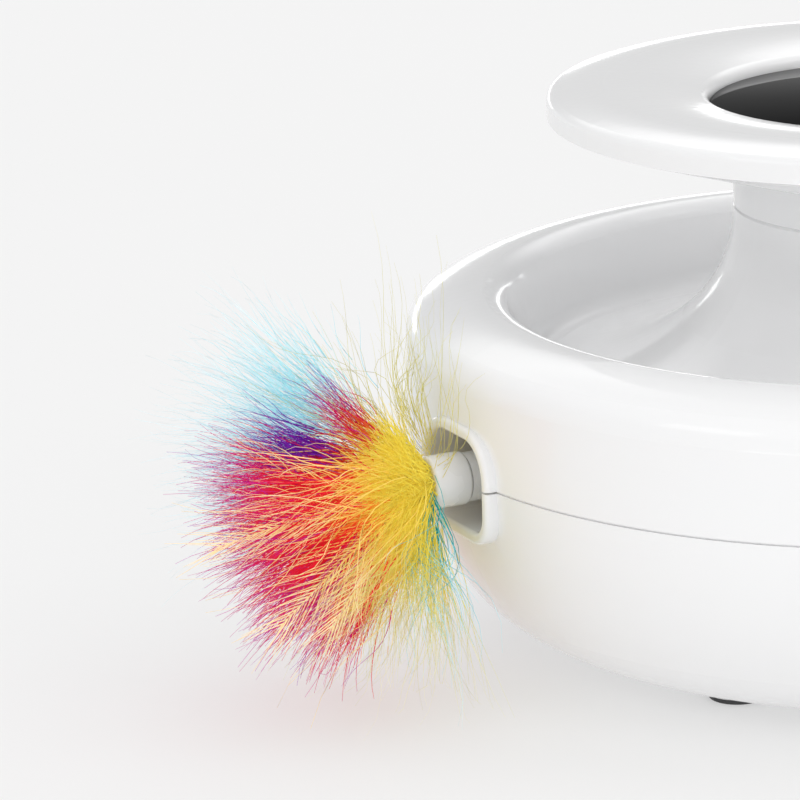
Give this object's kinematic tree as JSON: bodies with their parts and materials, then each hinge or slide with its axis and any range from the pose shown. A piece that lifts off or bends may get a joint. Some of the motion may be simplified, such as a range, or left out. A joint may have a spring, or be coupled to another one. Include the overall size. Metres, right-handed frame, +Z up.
{
  "type": "automatic cat toy",
  "caption": "Round floor toy for cats: a feather plume pops out of windows in a white bowl-shaped base under a ball track, a column and a mushroom disc with a black press cap.",
  "frame": {"origin": "on the floor under the feet, on the axis of the round base", "axes": "+Z up along the axis of the base and column, +X along the plunger towards the feather plume"},
  "size_m": [0.3287, 0.244, 0.1379],
  "materials": {
    "shell_white": "gloss",
    "disc_white": "gloss",
    "cap_black": "mirror gloss",
    "foot_rubber": "matt",
    "steel": "bright",
    "spring_steel": "bright",
    "contact_metal": "nickel plated",
    "cell_wrap": "satin",
    "board_green": "satin",
    "switch_grey": "satin",
    "frame_white": "satin",
    "gear_natural": "satin",
    "bronze": "turned",
    "motor_can": "drawn",
    "plunger_white": "gloss",
    "plume": "dyed down feathers"
  },
  "bodies": {
    "base": {"lower_shell": "shell_white", "upper_shell": "shell_white", "neck_sleeve": "disc_white", "top_disc": "disc_white", "foot_pads": "foot_rubber", "battery_door": "shell_white", "battery_door_screw": "steel", "battery_cells": "cell_wrap", "battery_contacts": "contact_metal", "main_board": "board_green", "board_screws": "steel", "switch_board": "board_green", "cap_switch": "switch_grey", "cap_spring": "spring_steel", "centre_post": "steel", "thrust_washer": "bronze", "post_clip": "spring_steel", "sweep_motor": "motor_can"},
    "carriage": {"turntable": "frame_white", "turntable_bush": "bronze", "plunger_guide": "frame_white", "guide_cover": "frame_white", "guide_screws": "steel", "drive_axle": "steel", "feather_motor": "motor_can"},
    "plunger": {"plunger_rack": "plunger_white", "plunger_tip": "plunger_white", "feather_plume": "plume"},
    "drive_gear": {"drive_gear": "gear_natural"},
    "feather_motor_rotor": {"feather_motor_shaft": "steel", "feather_motor_pinion": "gear_natural"},
    "sweep_motor_rotor": {"sweep_motor_shaft": "steel", "sweep_motor_pinion": "gear_natural"},
    "cap": {"centre_cap": "cap_black"}
  },
  "joints": [
    {"name": "carriage_sweep", "type": "hinge", "parent": "base", "child": "carriage", "pos_m": [0, 0, 0.03], "axis": [0, 0, 1], "range_deg": [-3.2, 3.2]},
    {"name": "plunger_slide", "type": "slide", "parent": "carriage", "child": "plunger", "axis": [1, 0, 0], "range_m": [-0.09, 0], "deforming": ["feather_plume"]},
    {"name": "drive_gear_spin", "type": "hinge", "parent": "carriage", "child": "drive_gear", "pos_m": [0.008, -0.01, 0.045], "axis": [0, 0, 1], "range_deg": [-1, 738]},
    {"name": "feather_motor_spin", "type": "hinge", "parent": "carriage", "child": "feather_motor_rotor", "pos_m": [-0.00402, -0.02202, 0.04], "axis": [0, 0, 1], "range_deg": [-1770, 1]},
    {"name": "sweep_motor_spin", "type": "hinge", "parent": "base", "child": "sweep_motor_rotor", "pos_m": [-0.0255, 0.04417, 0.034], "axis": [0, 0, 1], "range_deg": [-24.5, 24.5]},
    {"name": "cap_press", "type": "slide", "parent": "base", "child": "cap", "axis": [0, 0, 1], "range_m": [-0.0016, 0], "stiffness_N_per_m": 500, "springref_m": 0.002, "deforming": ["cap_spring"]}
  ],
  "couplings": [
    {"joint": "drive_gear_spin", "follows": "plunger_slide", "rad_per_m": -142.86},
    {"joint": "feather_motor_spin", "follows": "plunger_slide", "rad_per_m": 342.86},
    {"joint": "sweep_motor_spin", "follows": "carriage_sweep", "ratio": -7.5}
  ]
}
